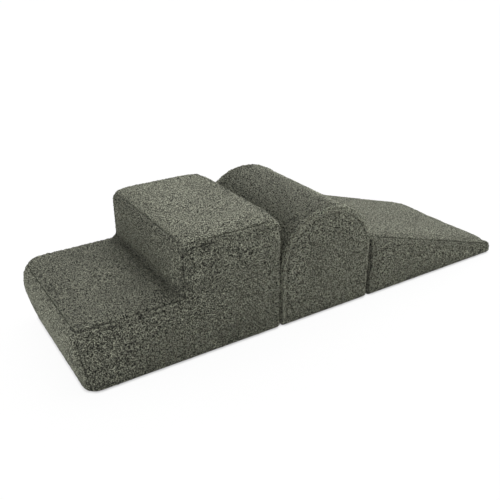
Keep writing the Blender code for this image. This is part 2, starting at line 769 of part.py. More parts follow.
def finish_block(prefix, block, parts, length, zip_length, across, start):
    """Add a block's base cloth and zip, and set the block down in the row."""
    before = set(CUTTERS.objects)
    parts += base_panels(prefix, block, length, zip_length, across)
    move(parts + [cutter for cutter in CUTTERS.objects if cutter not in before], start)
    place_zip(prefix, length, zip_length, across, start)


def clear_scene():
    for item in list(bpy.data.objects):
        bpy.data.objects.remove(item, do_unlink=True)


def new_collection(name):
    collection = bpy.data.collections.new(name)
    bpy.context.scene.collection.children.link(collection)
    return collection


def new_material(name, colour, roughness, metallic):
    material = bpy.data.materials.new(name)
    material.use_nodes = True
    shader = material.node_tree.nodes["Principled BSDF"]
    shader.inputs["Base Color"].default_value = colour
    shader.inputs["Roughness"].default_value = roughness
    shader.inputs["Metallic"].default_value = metallic
    material.diffuse_color = colour
    return material


clear_scene()
PARTS = new_collection("soft_play_foam_climber")
CUTTERS = new_collection("cutters")
MATERIALS = {name: new_material(name, *finish) for name, finish in FINISHES.items()}

BLOCK_PITCH_GAP = 2 * MEETING_CROWN + BLOCK_GAP
ROW_LENGTH = STAIR_LENGTH + HUMP_LENGTH + WEDGE_LENGTH + 2 * BLOCK_PITCH_GAP
STAIR_START = (LOW_END_CROWN - ROW_LENGTH) / 2
HUMP_START = STAIR_START + STAIR_LENGTH + BLOCK_PITCH_GAP
WEDGE_START = HUMP_START + HUMP_LENGTH + BLOCK_PITCH_GAP

build_stairs(STAIR_START)
build_hump(HUMP_START)
build_wedge(WEDGE_START)
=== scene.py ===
"""Looks of the soft play foam climber: boucle covers, base cloth, foam, zips and a white studio."""

import math

import bpy
import numpy as np
from bpy.props import FloatProperty, FloatVectorProperty, PointerProperty
from bpy.types import Operator, Panel, PropertyGroup
from mathutils import Matrix, Vector, noise
from mathutils.bvhtree import BVHTree
from mathutils.kdtree import KDTree


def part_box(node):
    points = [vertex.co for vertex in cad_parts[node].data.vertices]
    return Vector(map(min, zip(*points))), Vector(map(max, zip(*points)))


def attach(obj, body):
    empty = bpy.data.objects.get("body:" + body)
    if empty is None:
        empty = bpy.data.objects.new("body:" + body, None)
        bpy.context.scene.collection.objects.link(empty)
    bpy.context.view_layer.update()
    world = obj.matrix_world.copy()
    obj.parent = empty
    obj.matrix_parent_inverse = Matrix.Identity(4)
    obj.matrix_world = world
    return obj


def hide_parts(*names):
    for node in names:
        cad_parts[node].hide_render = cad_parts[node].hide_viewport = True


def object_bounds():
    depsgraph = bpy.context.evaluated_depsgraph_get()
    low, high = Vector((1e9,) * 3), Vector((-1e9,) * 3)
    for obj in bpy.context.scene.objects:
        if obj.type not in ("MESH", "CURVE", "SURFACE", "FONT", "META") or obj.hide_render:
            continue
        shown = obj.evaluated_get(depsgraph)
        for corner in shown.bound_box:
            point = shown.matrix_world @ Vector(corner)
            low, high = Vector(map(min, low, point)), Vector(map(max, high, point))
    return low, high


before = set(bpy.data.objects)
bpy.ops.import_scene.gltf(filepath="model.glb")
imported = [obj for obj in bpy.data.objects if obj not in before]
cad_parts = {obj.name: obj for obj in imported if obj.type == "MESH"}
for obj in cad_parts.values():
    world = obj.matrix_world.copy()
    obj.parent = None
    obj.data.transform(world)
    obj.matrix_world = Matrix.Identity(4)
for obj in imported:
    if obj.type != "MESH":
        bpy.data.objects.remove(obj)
CAD_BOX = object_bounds()

bl_info = {
    "name": "Soft Play Foam Climber",
    "version": (1, 0, 0),
    "blender": (4, 5, 0),
    "location": "View3D > Sidebar > Climber",
    "description": "Dresses three foam climbing blocks in boucle covers",
    "category": "Add Mesh",
}

# Panels of each block's cover and base, whose nodes end in _panel, and the foam inside them
BOUCLE_PANELS = {
    "stair": ("near_side", "far_side", "low_end", "low_tread", "riser", "upper_tread", "tall_end"),
    "hump": ("near_side", "far_side", "arch"),
    "wedge": ("near_side", "far_side", "slope", "high_end"),
}
BASE_PANELS = {
    "stair": ("base_near", "base_far"),
    "hump": ("base_left", "base_right"),
    "wedge": ("base_near", "base_far"),
}
FOAM_NODES = {
    "stair": ("stair_foam_slab", "stair_foam_upper_block"),
    "hump": ("hump_foam_core",),
    "wedge": ("wedge_foam_core",),
}
BODIES = {"stair": "stairs", "hump": "hump", "wedge": "wedge"}

# Painted light and shade on each panel, for how it is lit and how its pile lies, where that
# differs from 1
PANEL_LIGHT_SHARES = {
    "stair_near_side": 1.43, "stair_upper_tread": 1.22, "stair_low_tread": 0.92, "stair_riser": 1.15,
    "stair_low_end": 1.24, "hump_near_side": 1.54, "hump_arch": 0.87, "wedge_near_side": 1.62,
    "wedge_slope": 1.18,
}

# How far the pile stands open on each panel away from its seams. An open pile stands higher, and
# the gaps between its curls get painted shade, set per panel to suit how the panel is lit
OPEN_SHARES = {
    "stair_low_end": 0.05, "stair_low_tread": 0.50, "stair_riser": 0.55, "stair_upper_tread": 0.35,
    "hump_arch": 0.55, "wedge_slope": 0.35, "wedge_high_end": 0.6,
}
SIDE_OPEN_SHARE = 1.0
BENT_OPEN_SHARE = 0.25

# How each seam looks: how much it is gathered, how deep its own line is, how deep the crease over
# its turned edge is, which lies on the block's side, each of these with its painted shade, and the
# painted light of the pile that turns over it. Both sides of a block are alike, and seams that
# aren't named are plain. A seam with the base cloth keeps its panel's painted light.
PLAIN_SEAM = (0.4, 0.20, 0.0, 1.1)
BASE_SEAM = (0.4, 0.0, 0.0)
SEAMS = {
    frozenset(("stair_side", "stair_low_end")): (1.0, 1.0, 0.5, 1.25),
    frozenset(("stair_side", "stair_riser")): (1.0, 1.0, 0.3, 1.25),
    frozenset(("stair_side", "stair_low_tread")): (0.2, 0.9, 0.9, 1.20),
    frozenset(("stair_side", "stair_upper_tread")): (0.3, 0.15, 0.8, 1.30),
    frozenset(("stair_side", "stair_tall_end")): (0.3, 0.10, 0.0, 1.60),
    frozenset(("stair_upper_tread", "stair_riser")): (0.8, 0.5, 0.0, 1.15),
    frozenset(("stair_low_tread", "stair_low_end")): (0.4, 0.05, 0.0, 1.05),
    frozenset(("stair_low_tread", "stair_riser")): (0.4, 0.0, 0.0, 0.94),
    frozenset(("hump_side", "hump_arch")): (0.2, 0.0, 0.9, 1.60),
    frozenset(("wedge_side", "wedge_slope")): (0.3, 0.20, 0.2, 1.20),
}

# How far from a seam the pile takes on the painted light that it has where it turns over the seam
SEAM_LIGHT_REACH = 0.010

# How much closed the pile stands between a seam and its crease, with less painted shade in its
# gaps, and how far that reaches
RIM_SHARE = 0.7
RIM_REACH = 0.009

# A painted highlight on the arch past its crown: how much lighter it is painted, and the distances
# from the crown between which that comes up and fades again
CROWN_PANEL = "hump_arch"
CROWN_HIGHLIGHT = 1.05
CROWN_RISE = (-0.002, 0.075)
CROWN_FALL = (0.100, 0.138)

# The height in the curls' noise that stays in place, how high the pile stands where it is closed,
# and what it gains where it is open
CURL_MIDDLE = 0.4
CLOSED_PILE = 0.2
OPEN_PILE = 0.6

# The two panels that meet in the inner corner of the step, where the cover bridges the corner
INNER_CORNER = ("stair_low_tread", "stair_riser")

# Corners of the blocks that the cover rounds off
CORNERS = {
    "stair": ((-0.635, 0.19, 0.165), (-0.635, -0.19, 0.165), (-0.395, 0.19, 0.295),
              (-0.395, -0.19, 0.295), (-0.140, 0.19, 0.295), (-0.140, -0.19, 0.295)),
    "hump": (),
    "wedge": ((0.150, 0.19, 0.180), (0.150, -0.19, 0.180)),
}

# Meshes: where points are merged, how many steps weights have, where smooth shading ends, and a
# distance that stands for none found
MERGE_DISTANCE = 0.00001
WEIGHT_STEPS = 20
SMOOTH_ANGLE = math.radians(40)
FAR = 1.0

# Lengths that keep a division in bounds where there is no move, or no gap
NO_MOVE = 1e-9
NO_GAP = 1e-4

# The cover's hidden inner side: how near to the foam it lies, and how much of it is thinned out
LINING_DEPTH = 0.0020
LINING_CUT = 0.9

# Heights over the foam at which the cover takes the cushion's moves and the rounding in full
CUSHION_DEPTH = 0.004
ROUNDING_DEPTH = 0.006

# The simulation: its last frame, the height under which the cover is held, and how many of its
# points a point of the cover follows
LAST_FRAME = 20
HELD_HEIGHT = 0.006
FOLLOWED_POINTS = 4

# How far in the low end leans, and the height at which it stands out in full
LEAN_REACH = 0.070
LEAN_HEIGHT = 0.120

# Gathers and creases come and go along a seam, in long stretches and in short breaks: the noise's
# spacing, where it is read and its range, and how much still shows in a break
STRETCH_SPACING = 0.09
STRETCH_SHIFT = 1.0
STRETCH_RANGE = (-0.35, 0.1)
BREAK_SPACING = 0.012
BREAK_SHIFT = 2.0
BREAK_RANGE = (-0.3, 0.3)
BREAK_FLOOR = 0.15

# How far the floor lies under the base cloths, so that the two aren't in one plane
FLOOR_GAP = 0.0004

# The floor: its glow, and its contact shadow as rays, a range of openness and a range of glow
GLOW_STRENGTH = 1.02
CONTACT_SAMPLES = 16
CONTACT_RANGE = (0.0, 0.85, 0.3, 1.0)

# Where the two lamps stand, as seen from the blocks, and how broad they look
KEY_SIDE = (0.54, 0.35, 0.77)
FILL_SIDE = (-0.95, -0.10, 0.25)
LAMP_ANGLE = math.radians(90)

# How much darker the pile looks in a seam, in the crease beside it, in a gather and in the inner
# corner of the step, and the most that these take away together
SEAM_SHADE = 0.5
CREASE_SHADE = 0.55
FOLD_SHADE = 0.9
BRIDGE_SHADE = 0.13
MOST_SHADE = 0.9

# Boucle: the height of its middle colour, the range of noise that makes loops, the painted shade
# in the pits between the loops and the painted light on their tops, how wide the gaps between
# curls are and how dark their painted shade is, and how the colour drifts
MIDDLE_PLACE = 0.25
LOOP_RANGE = (0.37, 0.54)
LOOP_PIT_SHADE = 0.07
LOOP_TOP_LIGHT = 1.22
GAP_WIDTH = 0.07
GAP_SHADE = 0.97
DRIFT_SPACING = 0.09
DRIFT_RANGE = (0.3, 0.7, 0.94, 1.06)

# Shades of the other materials, as pairs of a place in the texture and a share of the colour
CLOTH_SHADES = ((0.3, 0.5), (0.7, 1.5))
FOAM_SHADES = ((0.1, 0.8), (0.6, 1.0))
TAPE_SHADES = ((0.1, 0.6), (0.9, 1.3))
TEETH_SHADES = ((0.3, 0.85), (0.7, 1.15))
METAL_SHADES = ((0.35, 0.8), (0.7, 1.4))

# Spacings of their textures, the scale of one band of a wave texture, and the heights of reliefs
MOTTLE_SPACING = 0.02
WRINKLE_SPACING = 0.06
FOAM_CELL = 0.0012
TAPE_RIB = 0.0008
TEETH_GRAIN = 0.0008
METAL_RUB = 0.003
WAVE_BAND = math.tau / 20
CLOTH_RELIEF = 0.002
WEAVE_HEIGHT = 0.10
WRINKLE_HEIGHT = 1.5
STITCH_HEIGHT = 0.25
FOLD_HEIGHT = -0.3
FOAM_RELIEF = 0.0004
TAPE_RELIEF = 0.0002

# How rough teeth and metal are, over a range of their textures
TEETH_ROUGHNESS = (0.3, 0.7, 0.35, 0.5)
METAL_ROUGHNESS = (0.3, 0.7, 0.42, 0.28)

# The hem of the base cloth: where its fold lies, how fold, stitches and dashes fade at their
# edges, how light the stitches and how dark the fold are
FOLD_PLACE = 1.5
FOLD_FADE = (0.0004, 0.0020)
STITCH_FADE = (0.0005, 0.0009)
DASH_FADE = (0.25, 0.35)
STITCH_LIGHT = 1.6
HEM_SHADE = 0.35


class CoverSettings(PropertyGroup):
    """Sizes and colours of the boucle covers."""

    mesh_step: FloatProperty(
        name="Mesh step", description="Spacing of the cover's mesh",
        default=0.0019, min=0.001, unit="LENGTH")
    cushion_step: FloatProperty(
        name="Cushion step", description="Spacing of the mesh that the cloth simulation runs on",
        default=0.006, unit="LENGTH")
    cushion_pressure: FloatProperty(
        name="Cushion pressure", description="Pressure of the foam on the cover", default=4.0)
    cushion_slack: FloatProperty(
        name="Slack", description="How much larger the cloth is than the foam", default=0.012)
    cushion_cap: FloatProperty(
        name="Cushion cap", description="The furthest that a point of the cover may move",
        default=0.005, unit="LENGTH")
    foot_tuck: FloatProperty(
        name="Foot tuck", description="How far the low end tucks in at its foot",
        default=0.007, unit="LENGTH")
    head_bulge: FloatProperty(
        name="Head bulge", description="How far the low end stands out at its top",
        default=0.011, unit="LENGTH")
    corner_reach: FloatProperty(
        name="Corner reach", description="How far from a corner the cover is rounded",
        default=0.030, unit="LENGTH")
    corner_pull: FloatProperty(
        name="Corner pull", description="How far a corner is pulled in",
        default=0.006, unit="LENGTH")
    open_reach: FloatProperty(
        name="Open reach", description="How far from a seam its bent cloth opens the pile",
        default=0.022, unit="LENGTH")
    curl_size: FloatProperty(
        name="Curl size", description="Spacing of the curls in the pile",
        default=0.0044, unit="LENGTH")
    curl_height: FloatProperty(
        name="Curl height", description="How far the curls stand above the gaps between them",
        default=0.0040, unit="LENGTH")
    clump_size: FloatProperty(
        name="Clump size", description="Spacing of the clumps that the curls gather in",
        default=0.0130, unit="LENGTH")
    clump_height: FloatProperty(
        name="Clump height", description="How far the clumps stand out",
        default=0.0005, unit="LENGTH")
    # The gaps' darkness is painted shade
    gap_size: FloatProperty(
        name="Gap size", description="Spacing of the dark gaps that wind between the curls",
        default=0.0031, unit="LENGTH")
    loop_size: FloatProperty(
        name="Loop size", description="Spacing of the loops of yarn in a curl",
        default=0.0027, unit="LENGTH")
    loop_height: FloatProperty(
        name="Loop height", description="How far the loops of yarn stand out",
        default=0.0080, unit="LENGTH")
    pile_root: FloatProperty(
        name="Pile root", description="Height over the foam at which the pile starts in a seam",
        default=0.0030, unit="LENGTH")
    pile_full: FloatProperty(
        name="Full pile", description="Height over the foam at which the pile is full",
        default=0.0062, unit="LENGTH")
    gather_spacing: FloatProperty(
        name="Gather spacing", description="Distance between the gathers along a seam",
        default=0.0150, unit="LENGTH")
    gather_reach: FloatProperty(
        name="Gather reach", description="How far the gathers run out from a seam",
        default=0.0130, unit="LENGTH")
    gather_depth: FloatProperty(
        name="Gather depth", description="Depth of the deepest gathers",
        default=0.0045, unit="LENGTH")
    seam_width: FloatProperty(
        name="Seam width", description="How far from a seam the pile lies down",
        default=0.0032, unit="LENGTH")
    seam_depth: FloatProperty(
        name="Seam depth", description="How far the thread draws a seam in",
        default=0.0015, unit="LENGTH")
    welt_place: FloatProperty(
        name="Welt place", description="Distance from a seam to the crease over its turned edge",
        default=0.0110, unit="LENGTH")
    welt_width: FloatProperty(
        name="Welt width", description="Width of the crease over a seam's turned edge",
        default=0.0017, unit="LENGTH")
    welt_depth: FloatProperty(
        name="Welt depth", description="Depth of the crease over a seam's turned edge",
        default=0.0024, unit="LENGTH")
    bridge_height: FloatProperty(
        name="Bridge height", description="How far the cover bridges the inner corner of the step",
        default=0.0050, unit="LENGTH")
    bridge_reach: FloatProperty(
        name="Bridge reach", description="How far from the inner corner the cover starts to bridge it",
        default=0.0100, unit="LENGTH")
    seam_reach: FloatProperty(
        name="Seam reach", description="Distance from a seam past which it shapes nothing",
        default=0.0500, unit="LENGTH")
    tip_colour: FloatVectorProperty(
        name="Tips", description="Colour of the tips of the curls",
        default=(0.360, 0.367, 0.289), subtype="COLOR")
    middle_colour: FloatVectorProperty(
        name="Middle", description="Colour half way down the pile",
        default=(0.311, 0.319, 0.244), subtype="COLOR")
    # Painted shade: the colour deep in the gaps between the curls, where shade falls
    root_shade_colour: FloatVectorProperty(
        name="Roots", description="Colour in the gaps between the curls",
        default=(0.022, 0.023, 0.016), subtype="COLOR")


class BaseSettings(PropertyGroup):
    """Base cloth, foam and zips."""

    cloth_colour: FloatVectorProperty(
        name="Base cloth", description="Colour of the woven base cloth",
        default=(0.060, 0.062, 0.046), subtype="COLOR")
    foam_colour: FloatVectorProperty(
        name="Foam", description="Colour of the foam",
        default=(0.700, 0.680, 0.580), subtype="COLOR")
    tape_colour: FloatVectorProperty(
        name="Zip tape", description="Colour of the zip's woven tape",
        default=(0.070, 0.073, 0.052), subtype="COLOR")
    teeth_colour: FloatVectorProperty(
        name="Zip teeth", description="Colour of the moulded teeth",
        default=(0.045, 0.047, 0.036), subtype="COLOR")
    metal_colour: FloatVectorProperty(
        name="Slider", description="Colour of the metal of slider and stops",
        default=(0.230, 0.225, 0.210), subtype="COLOR")
    yarn_spacing: FloatProperty(
        name="Yarn spacing", description="Spacing of the yarns in the base cloth",
        default=0.0012, unit="LENGTH")
    hem_width: FloatProperty(
        name="Hem width", description="Distance of the hem's stitches from the cloth's edge",
        default=0.0060, unit="LENGTH")
    stitch_length: FloatProperty(
        name="Stitch length", description="Length of one stitch and the gap after it",
        default=0.0036, unit="LENGTH")


class StageSettings(PropertyGroup):
    """Floor, lamps and camera."""

    floor_size: FloatProperty(
        name="Floor size", description="Width of the floor", default=60.0, unit="LENGTH")
    floor_colour: FloatVectorProperty(
        name="Floor", description="Colour of the floor", default=(0.86, 0.86, 0.86), subtype="COLOR")
    floor_glow: FloatProperty(
        name="Floor glow", description="Share of plain white in the floor that the camera sees",
        default=0.93, min=0.0, max=1.0, subtype="FACTOR")
    contact_reach: FloatProperty(
        name="Contact shadow", description="How far the shadow close under the blocks reaches",
        default=0.009, unit="LENGTH")
    sky_strength: FloatProperty(
        name="Sky", description="Strength of the even light from all round", default=0.25)
    key_strength: FloatProperty(
        name="Key lamp", description="Strength of the soft lamp above right", default=2.85)
    fill_strength: FloatProperty(
        name="Fill lamp", description="Strength of the soft lamp on the left", default=1.1)
    lens: FloatProperty(
        name="Lens", description="Focal length", default=46.443, unit="CAMERA")
    camera_distance: FloatProperty(
        name="Camera distance", description="Distance from the point that the camera looks at",
        default=1.7114, unit="LENGTH")
    camera_azimuth: FloatProperty(
        name="Camera azimuth", description="Direction of the camera round the object",
        default=math.radians(-32.0666), unit="ROTATION")
    camera_elevation: FloatProperty(
        name="Camera elevation", description="Height of the camera as an angle",
        default=math.radians(25.827), unit="ROTATION")
    camera_roll: FloatProperty(
        name="Camera roll", description="Tilt of the picture", default=math.radians(-0.5988),
        unit="ROTATION")
    camera_target: FloatVectorProperty(
        name="Camera target", description="Point that the camera looks at",
        default=(-0.0979, 0.0, 0.1210), subtype="XYZ", unit="LENGTH")


class Value:
    """A socket of a material's nodes, which adds and multiplies as a number does."""

    def __init__(self, tree, socket=None):
        self.tree = tree
        self.socket = socket

    def node(self, kind, settings=None, inputs=None, output=0):
        """Add a node, with its settings first and then the values or links of its sockets."""
        node = self.tree.nodes.new(kind)
        for name, value in (settings or {}).items():
            if name == "stops":
                set_stops(node.color_ramp, value)
            else:
                setattr(node, name, value)
        for name, value in (inputs or {}).items():
            if isinstance(value, Value):
                self.tree.links.new(value.socket, node.inputs[name])
            else:
                node.inputs[name].default_value = value
        return Value(self.tree, node.outputs[output] if node.outputs else None)

    def maths(self, operation, first, second):
        return self.node("ShaderNodeMath", {"operation": operation}, {0: first, 1: second})

    def __add__(self, other):
        return self.maths("ADD", self, other)

    __radd__ = __add__

    def __sub__(self, other):
        return self.maths("SUBTRACT", self, other)

    def __rsub__(self, other):
        return self.maths("SUBTRACT", other, self)

    def __mul__(self, other):
        return self.maths("MULTIPLY", self, other)

    __rmul__ = __mul__

    def size(self):
        """The value without its sign."""
        return self.node("ShaderNodeMath", {"operation": "ABSOLUTE"}, {0: self})

    def attribute(self, name, output="Fac"):
        """A value that is stored on the mesh."""
        return self.node("ShaderNodeAttribute", {"attribute_name": name}, output=output)

    def clouds(self, spacing, detail):
        """Soft noise read at a place, with its spacing and the number of its finer layers."""
        return self.node("ShaderNodeTexNoise", None, {
            "Vector": self, "Scale": 1 / spacing, "Detail": detail})

    def scaled(self, factor):
        """A colour made lighter or darker by a value."""
        return self.node("ShaderNodeVectorMath", {"operation": "SCALE"}, {0: self, "Scale": factor})

    def between(self, low, high, to_low=0.0, to_high=1.0):
        """The value spread from one range to another, and held at its ends."""
        return self.node("ShaderNodeMapRange", None, {
            "Value": self, "From Min": low, "From Max": high, "To Min": to_low, "To Max": to_high})

    def ramp(self, stops):
        """The value read as a colour from a ramp."""
        return self.node("ShaderNodeValToRGB", {"stops": stops}, {0: self})

    def shades(self, colour, stops):
        """The value read as a shade of a colour, from pairs of a place and a share of the colour."""
        return self.ramp([(place, [share * part for part in colour]) for place, share in stops])

    def bump(self, distance, strength=1.0):
        return self.node("ShaderNodeBump", None, {
            "Height": self, "Distance": distance, "Strength": strength})


def set_stops(ramp, stops):
    """Give a colour ramp its stops, as pairs of a place and a colour."""
    while len(ramp.elements) < len(stops):
        ramp.elements.new(1.0)
    for element, (place, colour) in zip(ramp.elements, stops):
        element.position = place
        element.color = (*colour, 1.0)


def new_material(name, **constants):
    """A material with an empty Principled shader, and the value that its nodes start from."""
    material = bpy.data.materials.new(name)
    material.use_nodes = True
    shader = material.node_tree.nodes["Principled BSDF"]
    for socket, value in constants.items():
        shader.inputs[socket.replace("_", " ").title().replace("Ior", "IOR")].default_value = value
    return material, shader, Value(material.node_tree)


def feed(shader, name, value):
    """Link a value to one of a shader's sockets."""
    value.tree.links.new(value.socket, shader.inputs[name])


def place_on(start):
    """The place on the object, which textures are read by."""
    return start.node("ShaderNodeTexCoord", output="Object")


def boucle_material(cover):
    """Teddy boucle: light tips, painted shade between the curls and among the loops of yarn."""
    material, shader, start = new_material(
        "looped_pile", roughness=0.95, specular_ior_level=0.15, sheen_weight=0.08, sheen_roughness=0.5)
    pile = start.attribute("pile")
    # Painted light and shade of each point, which scales the colour
    nap = start.attribute("nap")
    opened = start.attribute("opened")
    place = place_on(start)
    loops = place.clouds(cover.loop_size, 1.0).between(*LOOP_RANGE)
    waves = place.clouds(cover.gap_size, 0.0)
    gaps = (waves - 0.5).size().between(0.0, GAP_WIDTH)
    drift = place.clouds(DRIFT_SPACING, 2.0).between(*DRIFT_RANGE)
    # Painted shade: the colour darkens from the curls' tips down to their roots
    colour = pile.ramp([(0.0, cover.root_shade_colour), (MIDDLE_PLACE, cover.middle_colour),
                        (1.0, cover.tip_colour)])
    # Painted shade in the pits between the loops of yarn and in the gaps between open curls
    yarn = (LOOP_PIT_SHADE + LOOP_TOP_LIGHT * loops) * (1 - GAP_SHADE * opened * (1 - gaps))
    feed(shader, "Base Color", colour.scaled(yarn * drift * nap))
    feed(shader, "Normal", yarn.bump(cover.loop_height))
    return material


def base_cloth_material(base):
    """Plain woven cloth: warp and weft yarns that cross, soft wrinkles, and a stitched hem."""
    material, shader, start = new_material("woven_cloth", roughness=0.9, specular_ior_level=0.2)
    place = place_on(start)
    wave = {"wave_type": "BANDS", "bands_direction": "X"}
    scale = WAVE_BAND / base.yarn_spacing
    warp = start.node("ShaderNodeTexWave", wave, {"Vector": place, "Scale": scale})
    wave["bands_direction"] = "Y"
    weft = start.node("ShaderNodeTexWave", wave, {"Vector": place, "Scale": scale})
    weave = warp * 0.5 + weft * 0.5
    mottle = place.clouds(MOTTLE_SPACING, 3.0)
    wrinkles = place.clouds(WRINKLE_SPACING, 1.0)
    hem, stitches = hem_stitches(start, place, base)
    colour = (weave * 0.5 + mottle * 0.5).shades(base.cloth_colour, CLOTH_SHADES)
    feed(shader, "Base Color", colour.scaled(1 + STITCH_LIGHT * stitches - HEM_SHADE * hem))
    height = weave * WEAVE_HEIGHT + wrinkles * WRINKLE_HEIGHT
    height = height + stitches * STITCH_HEIGHT + hem * FOLD_HEIGHT
    feed(shader, "Normal", height.bump(CLOTH_RELIEF))
    return material


def hem_stitches(start, place, base):
    """Where the fold of the hem shows inside a panel's edges, and where its row of stitches does."""
    low = start.attribute("low_corner", "Vector")
    high = start.attribute("high_corner", "Vector")
    sides = []
    for first, second in ((place, low), (high, place)):
        gap = start.node("ShaderNodeVectorMath", {"operation": "SUBTRACT"}, {0: first, 1: second})
        sides += [start.node("ShaderNodeSeparateXYZ", None, {0: gap}, output=axis) for axis in "XY"]
    inside = sides[0]
    for side in sides[1:]:
        inside = inside.maths("MINIMUM", inside, side)
    row = (inside - base.hem_width).size().between(*STITCH_FADE, 1.0, 0.0)
    fold = (inside - base.hem_width * FOLD_PLACE).size().between(*FOLD_FADE, 1.0, 0.0)
    along = (sides[0] + sides[1]) * (1 / base.stitch_length)
    dashes = along.maths("FRACT", along, 0.0).between(*DASH_FADE)
    return fold, row * dashes


def foam_material(base):
    """Cut foam: fine open cells."""
    material, shader, start = new_material("cut_foam", roughness=0.95, specular_ior_level=0.1)
    place = place_on(start)
    cells = start.node("ShaderNodeTexVoronoi", None, {"Vector": place, "Scale": 1 / FOAM_CELL})
    feed(shader, "Base Color", cells.shades(base.foam_colour, FOAM_SHADES))
    feed(shader, "Normal", cells.bump(FOAM_RELIEF))
    return material


def tape_material(base):
    """Woven zip tape with fine ribs that run aslant."""
    material, shader, start = new_material("ribbed_tape", roughness=0.85, specular_ior_level=0.2)
    place = place_on(start)
    ribs = start.node("ShaderNodeTexWave", {"bands_direction": "DIAGONAL"}, {
        "Vector": place, "Scale": WAVE_BAND / TAPE_RIB})
    feed(shader, "Base Color", ribs.shades(base.tape_colour, TAPE_SHADES))
    feed(shader, "Normal", ribs.bump(TAPE_RELIEF))
    return material


def teeth_material(base):
    """Moulded plastic with a fine satin grain."""
    material, shader, start = new_material("moulded_plastic", specular_ior_level=0.5)
    grain = place_on(start).clouds(TEETH_GRAIN, 2.0)
    feed(shader, "Base Color", grain.shades(base.teeth_colour, TEETH_SHADES))
    feed(shader, "Roughness", grain.between(*TEETH_ROUGHNESS))
    return material


def metal_material(base):
    """Dull plated metal with rubbed patches."""
    material, shader, start = new_material("plated_metal", metallic=1.0)
    rubs = place_on(start).clouds(METAL_RUB, 4.0)
    feed(shader, "Base Color", rubs.shades(base.metal_colour, METAL_SHADES))
    feed(shader, "Roughness", rubs.between(*METAL_ROUGHNESS))
    return material


def floor_material(stage):
    """A white floor that shows nearly plain white to the camera, with a shadow at each block's foot."""
    material, shader, start = new_material("floor", roughness=1.0, specular_ior_level=0.0)
    shader.inputs["Base Color"].default_value = (*stage.floor_colour, 1.0)
    seen = 0.0
    for ray in ("Is Camera Ray", "Is Glossy Ray", "Is Transmission Ray"):
        seen = start.node("ShaderNodeLightPath", output=ray) + seen
    contact = start.node("ShaderNodeAmbientOcclusion", {"samples": CONTACT_SAMPLES}, {
        "Distance": stage.contact_reach}, output="AO")
    glow = start.node("ShaderNodeEmission", None, {"Strength": GLOW_STRENGTH})
    lit = Value(start.tree, shader.outputs["BSDF"])
    share = seen * stage.floor_glow * contact.between(*CONTACT_RANGE)
    mixed = start.node("ShaderNodeMixShader", None, {0: share, 1: lit, 2: glow})
    feed(start.tree.nodes["Material Output"], "Surface", mixed)
    return material


def choose(piece):
    """Make one piece the only one that is selected, and the active one."""
    bpy.ops.object.select_all(action="DESELECT")
    piece.select_set(True)
    bpy.context.view_layer.objects.active = piece


def apply_modifiers(piece):
    choose(piece)
    for modifier in list(piece.modifiers):
        bpy.ops.object.modifier_apply(modifier=modifier.name)


def copy_of(node, name):
    """A loose copy of a CAD node's mesh, merged to one skin, as a piece to be shaped."""
    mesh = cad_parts[node].data.copy()
    mesh.materials.clear()
    piece = bpy.data.objects.new(name, mesh)
    bpy.context.scene.collection.objects.link(piece)
    choose(piece)
    bpy.ops.mesh.customdata_custom_splitnormals_clear()
    bpy.ops.object.mode_set(mode="EDIT")
    bpy.ops.mesh.select_all(action="SELECT")
    bpy.ops.mesh.remove_doubles(threshold=MERGE_DISTANCE)
    bpy.ops.object.mode_set(mode="OBJECT")
    return piece


def leaned_copy(node, name, cover):
    """A smooth copy of a CAD node that leans with the cover at the low end."""
    piece = copy_of(node, name)
    bpy.ops.object.shade_smooth_by_angle(angle=SMOOTH_ANGLE)
    set_points(piece.data, lean_low_end(points_of(piece.data), cover))
    return piece


def finish_piece(piece, node, body, material):
    """Give a piece its material, say what it rides on, and hide the node that it stands for."""
    piece.data.materials.append(material)
    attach(piece, body)
    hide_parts(node)


def set_group(piece, name, weights):
    """Give a piece a vertex group, with weights rounded to a few steps."""
    group = piece.vertex_groups.new(name=name)
    levels = np.rint(weights * WEIGHT_STEPS).astype(int)
    for level in range(1, WEIGHT_STEPS + 1):
        group.add(np.nonzero(levels == level)[0].tolist(), level / WEIGHT_STEPS, "REPLACE")


def points_of(mesh):
    values = np.empty(len(mesh.vertices) * 3, np.float32)
    mesh.vertices.foreach_get("co", values)
    return values.reshape(-1, 3)


def normals_of(mesh):
    values = np.empty(len(mesh.vertices) * 3, np.float32)
    mesh.vertex_normals.foreach_get("vector", values)
    return values.reshape(-1, 3)


def set_points(mesh, points):
    mesh.vertices.foreach_set("co", points.astype(np.float32).ravel())
    mesh.update()


def set_attribute(mesh, name, values):
    attribute = mesh.attributes.new(name, "FLOAT", "POINT")
    attribute.data.foreach_set("value", values.astype(np.float32))


def smooth_step(low, high, values):
    share = np.clip((values - low) / (high - low), 0, 1)
    return share * share * (3 - 2 * share)


def tree_of(nodes):
    """A search tree over the faces of some CAD nodes, and the node that each face belongs to."""
    points, faces, owners = [], [], []
    for node in nodes:
        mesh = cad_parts[node].data
        first = len(points)
        points += [vertex.co.copy() for vertex in mesh.vertices]
        faces += [[first + i for i in face.vertices] for face in mesh.polygons]
        owners += [node] * len(mesh.polygons)
    return BVHTree.FromPolygons(points, faces), owners


def foam_depths(points, foam):
    """How far each point lies over the foam."""
    return np.array([foam.find_nearest(point)[3] for point in points.tolist()], np.float32)


def thin_lining(piece, depths):
    """Leave only a few faces on the cover's hidden inner side."""
    deep = np.nonzero(depths < LINING_DEPTH)[0].tolist()
    piece.vertex_groups.new(name="lining").add(deep, 1.0, "REPLACE")
    thin = piece.modifiers.new("thin lining", "DECIMATE")
    thin.ratio = 1 - LINING_CUT * len(deep) / len(depths)
    thin.vertex_group = "lining"
    apply_modifiers(piece)
    piece.vertex_groups.clear()


